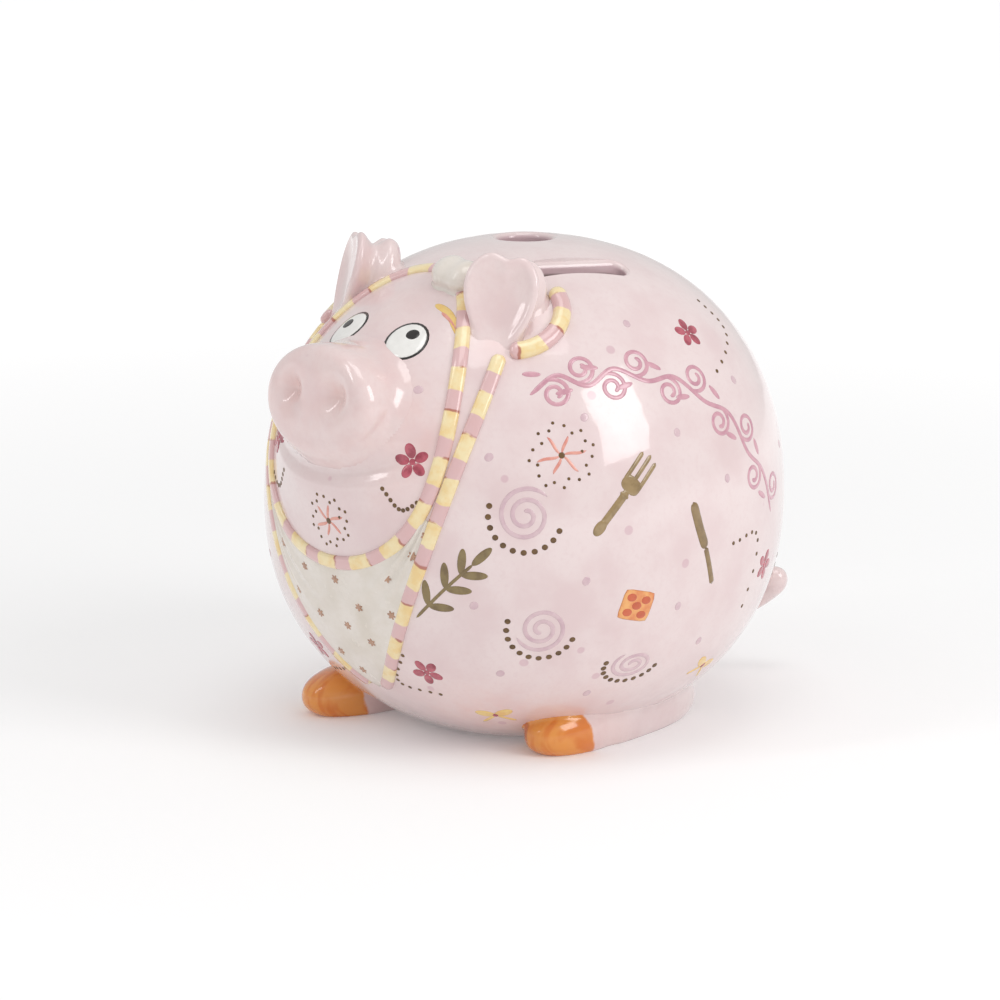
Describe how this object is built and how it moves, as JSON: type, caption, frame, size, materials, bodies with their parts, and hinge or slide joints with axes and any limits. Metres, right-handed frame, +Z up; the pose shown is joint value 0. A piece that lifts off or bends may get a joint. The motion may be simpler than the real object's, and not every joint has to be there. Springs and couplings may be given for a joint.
{
  "type": "pig coin bank",
  "caption": "Round hollow ceramic pig with a coin slot on its shoulder, a round hole in its crown, a modelled neck napkin and a rubber stopper in its base.",
  "frame": {"origin": "on the floor, under the middle of the whole bank's box", "axes": "+Z up; the pig looks along -Y; +X is the pig's left side"},
  "size_m": [0.134, 0.1636, 0.1337],
  "materials": {
    "pink_glaze": "clear gloss glaze over mottled pale pink",
    "cream_glaze": "clear gloss glaze over warm white",
    "stripe_glaze": "clear gloss glaze over yellow and lilac bands",
    "hoof_glaze": "clear gloss glaze over brushed orange toes on pink feet",
    "rubber": "matt off-white rubber"
  },
  "bodies": {
    "bank": {"body_shell": "pink_glaze", "snout": "pink_glaze", "ear_left": "pink_glaze", "ear_right": "pink_glaze", "tail": "pink_glaze", "foot_left": "hoof_glaze", "foot_right": "hoof_glaze", "bib_sheet": "cream_glaze", "napkin_knot": "cream_glaze", "napkin_end_left": "cream_glaze", "napkin_end_right": "cream_glaze", "neck_edge": "stripe_glaze", "side_edge_left": "stripe_glaze", "side_edge_right": "stripe_glaze"},
    "stopper": {"base_stopper": "rubber"}
  },
  "joints": [
    {"name": "stopper_pull", "type": "slide", "parent": "bank", "child": "stopper", "axis": [0, 0, -1], "range_m": [0, 0.016]}
  ]
}
